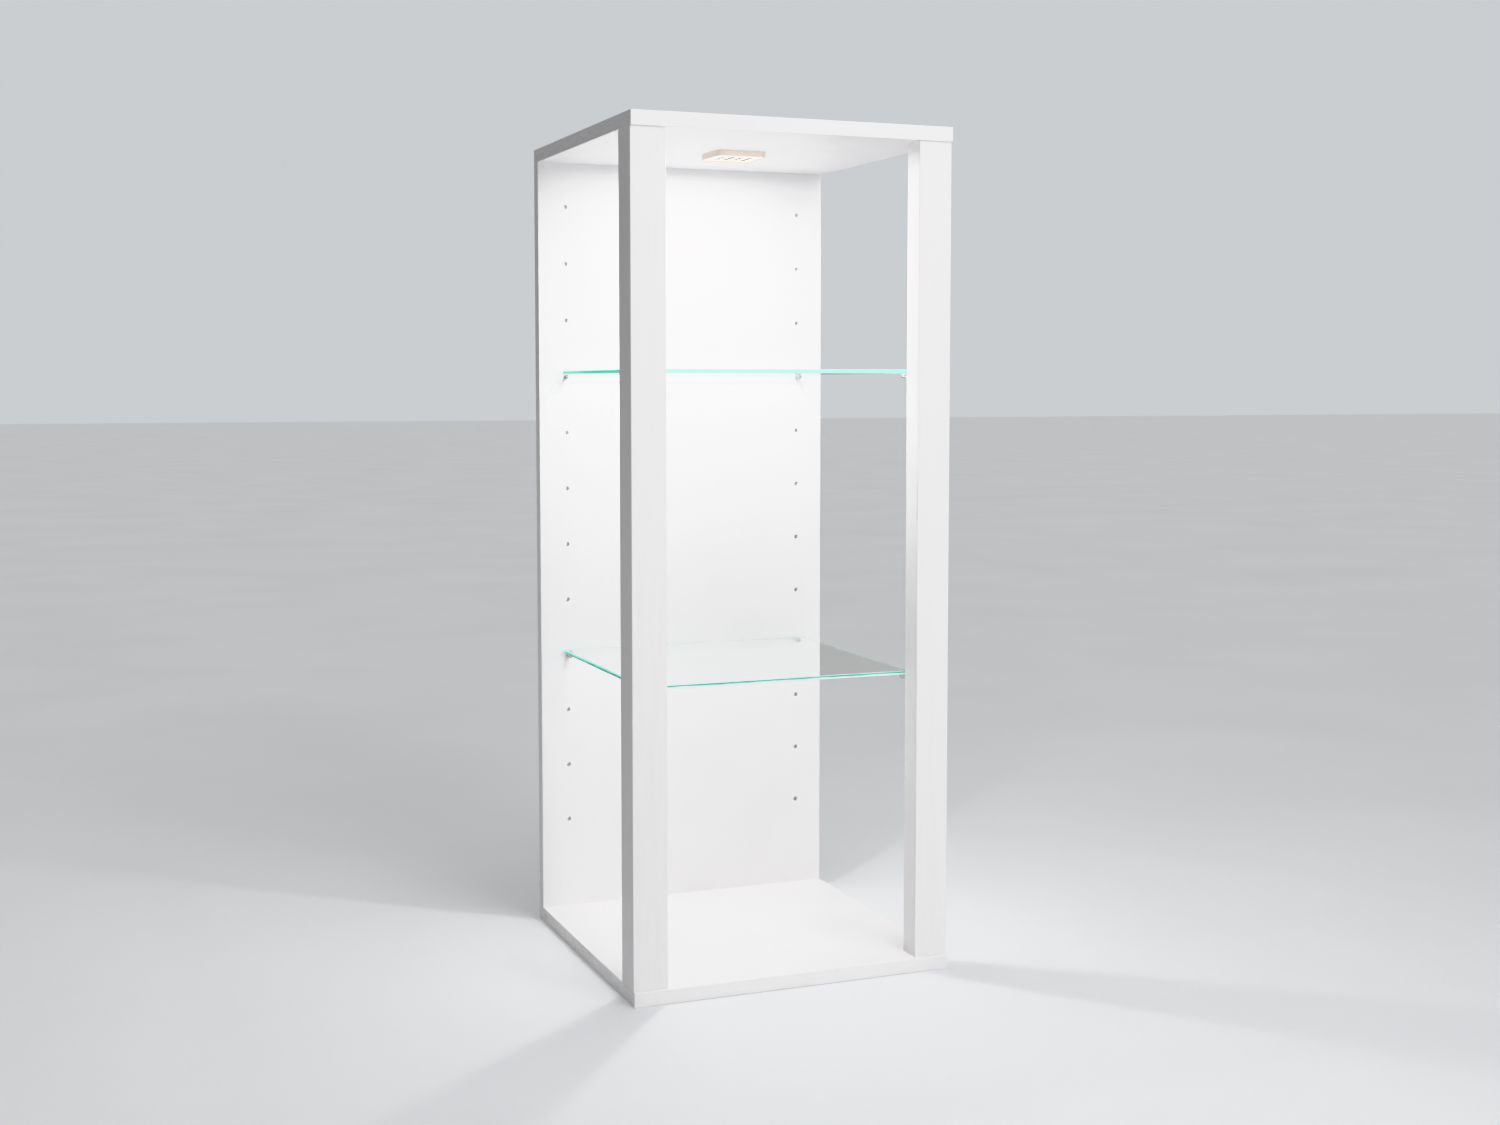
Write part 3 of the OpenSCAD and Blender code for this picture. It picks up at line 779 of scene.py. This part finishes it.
def solids_of(node):
    """Opposite corners of the box round each separate solid of a CAD node, from left to right."""
    mesh = bmesh.new()
    mesh.from_mesh(NODES[node].data)
    bmesh.ops.remove_doubles(mesh, verts=mesh.verts, dist=WELD)
    left, found = set(mesh.verts), []
    while left:
        group, front = set(), [next(iter(left))]
        while front:
            vert = front.pop()
            if vert in group:
                continue
            group.add(vert)
            front += [e.other_vert(vert) for e in vert.link_edges]
        left -= group
        low = Vector([min(v.co[a] for v in group) for a in range(3)])
        high = Vector([max(v.co[a] for v in group) for a in range(3)])
        found.append((low, high))
    mesh.free()
    return sorted(found, key=lambda box: tuple(round(c, 5) for c in box[0]))


LEDS = solids_of("lamp_leds")

# Rings of an LED's cap, as shares of its radius and of its rise. The last step is its lit tip.
CAP_RINGS = ((1.0, 0), (1.0, 0.85), (0.9, 0.97), (0.75, 1.0), (0.4, 1.0), (0.3, 0.85))
CAP_RADIUS = 2.7 * MM
CAP_RISE = 0.8 * MM


def led_cap(mesh, centre, face):
    """Dark cap with a bright tip, standing down from the diffuser's face. Returns its foot."""
    rings = []
    for share, drop in CAP_RINGS:
        place = Matrix.Translation((centre.x, centre.y, face - CAP_RISE * drop))
        rings.append([mesh.verts.new(place @ p) for p in circle(CAP_RADIUS * share, 0, 24)])
    for a, b in zip(rings, rings[1:-1]):
        bridge(mesh, a, b, 1)
    bridge(mesh, rings[-2], rings[-1], 2)
    mesh.faces.new(rings[-1]).material_index = 2
    return rings[0]


def lamp_diffuser():
    """Lit plate in the lamp's mouth, with a cap below each LED."""
    low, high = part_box("lamp_lens")
    corner, lip = 6 * MM, 0.25 * MM
    face, inset = low.z + CAP_RISE, Vector((lip, lip, 0))
    mesh = bmesh.new()
    plate = [[mesh.verts.new(p) for p in ring] for ring in (
        rounded_outline(low, high, corner, high.z),
        rounded_outline(low, high, corner, face + lip),
        rounded_outline(low + inset, high - inset, corner - lip, face),
    )]
    for a, b in zip(plate, plate[1:]):
        bridge(mesh, a, b)
    mesh.faces.new(plate[0])
    outlines = [plate[-1]]
    outlines += [led_cap(mesh, (led_low + led_high) / 2, face) for led_low, led_high in LEDS]
    edges = [
        mesh.edges.get((vert, ring[(i + 1) % len(ring)]))
        for ring in outlines for i, vert in enumerate(ring)
    ]
    bmesh.ops.triangle_fill(mesh, edges=edges, use_beauty=True)
    make_piece(
        "lamp_diffuser", mesh, CABINET, [DIFFUSER, CAP_RING, CAP_TIP], "lamp_lens"
    )


def lamp_chips():
    """LEDs: a white cup round a sunken square of phosphor."""
    mesh = bmesh.new()
    rim, rise, corner = Vector((0.45 * MM, 0.45 * MM, 0)), 0.15 * MM, 0.3 * MM
    foot, foot_corner = 1.2 * rim, 0.8 * corner
    for low, high in LEDS:
        loft(mesh, [
            rounded_outline(low, high, corner, high.z, 2),
            rounded_outline(low, high, corner, low.z, 2),
            rounded_outline(low + rim, high - rim, corner, low.z, 2),
            rounded_outline(low + foot, high - foot, foot_corner, low.z + rise, 2),
        ])
        mesh.faces.ensure_lookup_table()
        mesh.faces[-1].material_index = 1
    make_piece("lamp_chips", mesh, CABINET, [WHITE_PLASTIC, PHOSPHOR], "lamp_leds")


def lamp_circuit():
    """Circuit board, the rims of its faces broken."""
    mesh = refined("lamp_board", (rims(2, 0), 0.1 * MM, 1))
    make_piece("lamp_circuit", mesh, CABINET, [CIRCUIT], "lamp_board")


def lead_grommet():
    """Bushing of the lead's hole, its flange's rim rounded off."""
    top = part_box("lead_bushing")[1].z
    mesh = refined(
        "lead_bushing",
        (lambda e: all(abs(v.co.z - top) < WELD for v in e.verts), 0.3 * MM, 3),
    )
    make_piece("lead_grommet", mesh, CABINET, [WHITE_PLASTIC], "lead_bushing")


lamp_shell()
lamp_diffuser()
lamp_chips()
lamp_circuit()
lead_grommet()

# ------------------------------------------------------------------ fittings


def fluted_dowels(level):
    """Beech dowels with flutes for the glue and rounded ends."""
    flutes, steps, depth, end = 12, 6, 0.22 * MM, 0.9 * MM
    shoulder = 0.35 * end
    mesh = bmesh.new()
    for low, high in solids_of(level + "_dowels"):
        middle, radius = (low + high) / 2, (high.x - low.x) / 2

        def ring(shrink, height, flute):
            points = circle(radius - shrink, height, flutes * steps)
            for i, point in enumerate(points):
                dip = flute * max(0.0, math.cos(2 * math.pi * i / steps))
                scale = 1 - dip / radius
                point.x *= scale
                point.y *= scale
            return points

        rings = [
            ring(end, low.z, 0), ring(shoulder, low.z + shoulder, 0),
            ring(0, low.z + end, 0), ring(0, low.z + 2 * end, depth),
            ring(0, high.z - 2 * end, depth), ring(0, high.z - end, 0),
            ring(shoulder, high.z - shoulder, 0), ring(end, high.z, 0),
        ]
        loft(mesh, moved(rings, Matrix.Translation((middle.x, middle.y, 0))))
    make_piece(level + "_fluted_dowels", mesh, CABINET, [BEECH], level + "_dowels")


def cam_covers():
    """Press-in covers: a peg, and a disc with a soft rim and a shallow dish in it."""
    peg, bevel, disc, rim, dish = 2.1 * MM, 0.4 * MM, 1 * MM, 0.6 * MM, 0.15 * MM
    mesh = bmesh.new()
    for low, high in solids_of("cam_caps"):
        middle, radius = (low + high) / 2, (high.x - low.x) / 2
        foot = low.y - (high.y - disc)
        profile = [(peg - bevel, foot), (peg, foot + bevel), (peg, 0), (radius, 0)]
        profile += arc(radius, disc, rim, 4)
        profile += [(radius * 0.62, disc), (radius * 0.55, disc - dish)]
        place = Matrix.Translation((middle.x, high.y - disc, middle.z))
        turn = Matrix.Rotation(-math.pi / 2, 4, "X")
        loft(mesh, moved([circle(r, h) for r, h in profile], place @ turn))
    make_piece("cam_covers", mesh, CABINET, [WHITE_PLASTIC], "cam_caps")


def hanger_plate(side):
    """Stamped keyhole plate, its outer rim rolled over by the punch."""
    node = side + "_hanger"
    mesh = refined(node, (rims(1, 1 * MM), 0.3 * MM, 2))
    make_piece(side + "_hanger_plate", mesh, CABINET, [PLATED_STEEL], node)


def machined(node, name, material):
    """A metal fitting with the node's own shape."""
    make_piece(name, refined(node), CABINET, [material], node)


for level in ("top", "bottom"):
    fluted_dowels(level)
    machined(level + "_cam_bolts", level + "_connecting_bolts", PLATED_STEEL)
    machined(level + "_cam_locks", level + "_cam_drums", CAST_ZINC)
cam_covers()
for side in ("left", "right"):
    hanger_plate(side)
machined("hanger_screws", "hanger_fixing_screws", PLATED_STEEL)
machined("lamp_screws", "lamp_fixing_screws", PLATED_STEEL)

# --------------------------------------------------------------------- stage


def floor():
    """Wide pale floor just below the showcase."""
    reach, below = 30.0, 0.1 * MM
    mesh = bmesh.new()
    place = Matrix.Translation((0, 0, cad_low.z - below))
    bmesh.ops.create_grid(mesh, x_segments=1, y_segments=1, size=reach, matrix=place)
    data = bpy.data.meshes.new("floor")
    mesh.to_mesh(data)
    mesh.free()
    data.materials.append(stage_paint())
    ground = bpy.data.objects.new("floor", data)
    bpy.context.scene.collection.objects.link(ground)


def sky(seen, bright, dark):
    """Studio light all round, weaker from the left, with an even pale backdrop."""
    world = bpy.data.worlds.new("studio")
    bpy.context.scene.world = world
    world.use_nodes = True
    tree = world.node_tree
    tree.nodes.clear()

    def add(kind, **settings):
        node = tree.nodes.new("ShaderNode" + kind)
        for key, value in settings.items():
            setattr(node, key, value)
        return node

    coords = add("TexCoord")
    split = add("SeparateXYZ")
    tree.links.new(coords.outputs["Generated"], split.inputs[0])
    side = add("MapRange", interpolation_type="SMOOTHSTEP")
    ranges = {"From Min": -0.9, "From Max": 0.9, "To Min": dark, "To Max": bright}
    for key, value in ranges.items():
        side.inputs[key].default_value = value
    tree.links.new(split.outputs["X"], side.inputs[0])
    light = add("Background")
    light.inputs["Color"].default_value = (1.0, 1.0, 1.0, 1.0)
    tree.links.new(side.outputs[0], light.inputs["Strength"])
    backdrop = add("Background")
    backdrop.inputs["Color"].default_value = seen
    camera_ray = add("LightPath")
    mix = add("MixShader")
    tree.links.new(camera_ray.outputs["Is Camera Ray"], mix.inputs[0])
    tree.links.new(light.outputs[0], mix.inputs[1])
    tree.links.new(backdrop.outputs[0], mix.inputs[2])
    tree.links.new(mix.outputs[0], add("OutputWorld").inputs["Surface"])


def area_light(name, place, target, size, power, colour=(1.0, 1.0, 1.0)):
    """Soft light at place, facing target. size is its width and its height."""
    light = bpy.data.lights.new(name, "AREA")
    light.shape, light.energy, light.color = "RECTANGLE", power, colour
    light.size, light.size_y = size
    lamp = bpy.data.objects.new(name, light)
    lamp.visible_camera = False
    lamp.location = place
    lamp.rotation_euler = (Vector(target) - Vector(place)).to_track_quat("-Z", "Y").to_euler()
    bpy.context.scene.collection.objects.link(lamp)


def sun(name, direction, strength, softness):
    """Even light from far off in that direction, softness degrees wide."""
    light = bpy.data.lights.new(name, "SUN")
    light.energy, light.angle = strength, math.radians(softness)
    lamp = bpy.data.objects.new(name, light)
    lamp.rotation_euler = Vector(direction).to_track_quat("Z", "Y").to_euler()
    bpy.context.scene.collection.objects.link(lamp)


FILM_WIDTH = 36.0  # millimetres, as the lens is


def camera(place, turn, tilt, lens, shift):
    """Camera at place, turned to the right and tilted down by those angles in degrees."""
    data = bpy.data.cameras.new("camera")
    data.lens, data.sensor_width, data.shift_y = lens, FILM_WIDTH, shift
    view = bpy.data.objects.new("camera", data)
    view.location = place
    view.rotation_euler = (math.radians(90 - tilt), 0.0, math.radians(-turn))
    bpy.context.scene.collection.objects.link(view)
    bpy.context.scene.camera = view


floor()
sky(seen=srgb(208, 211, 214), bright=0.50, dark=0.13)
sun("key", direction=(0.24, -0.80, 0.54), strength=0.42, softness=30)
sun("top", direction=(0.05, -0.10, 1.0), strength=0.7, softness=40)
area_light(
    "front", place=(0.22, -1.22, 0.48), target=(0.0, -0.34, 0.08), size=(0.8, 1.5), power=6.9
)
lens_low, lens_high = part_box("lamp_lens")
lens = (lens_low + lens_high) / 2
under_lens = Vector((lens.x, lens.y, lens_low.z - 1 * MM))
area_light(
    "led", place=under_lens, target=Vector((lens.x, lens.y, 0)), size=(18 * MM, 18 * MM),
    power=1.85, colour=(1.0, 0.985, 0.97),
)
# What the glass and the boards below throw back up at the lamp
over_shelf = Vector((lens.x, lens.y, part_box("upper_shelf")[1].z + 40 * MM))
area_light("bounce", place=over_shelf, target=under_lens, size=(0.26, 0.26), power=0.09)
camera(place=(-0.7548, -2.1055, 0.1772), turn=21.845, tilt=4.015, lens=45.4, shift=-0.03)

scene = bpy.context.scene
scene.view_settings.view_transform = "Khronos PBR Neutral"
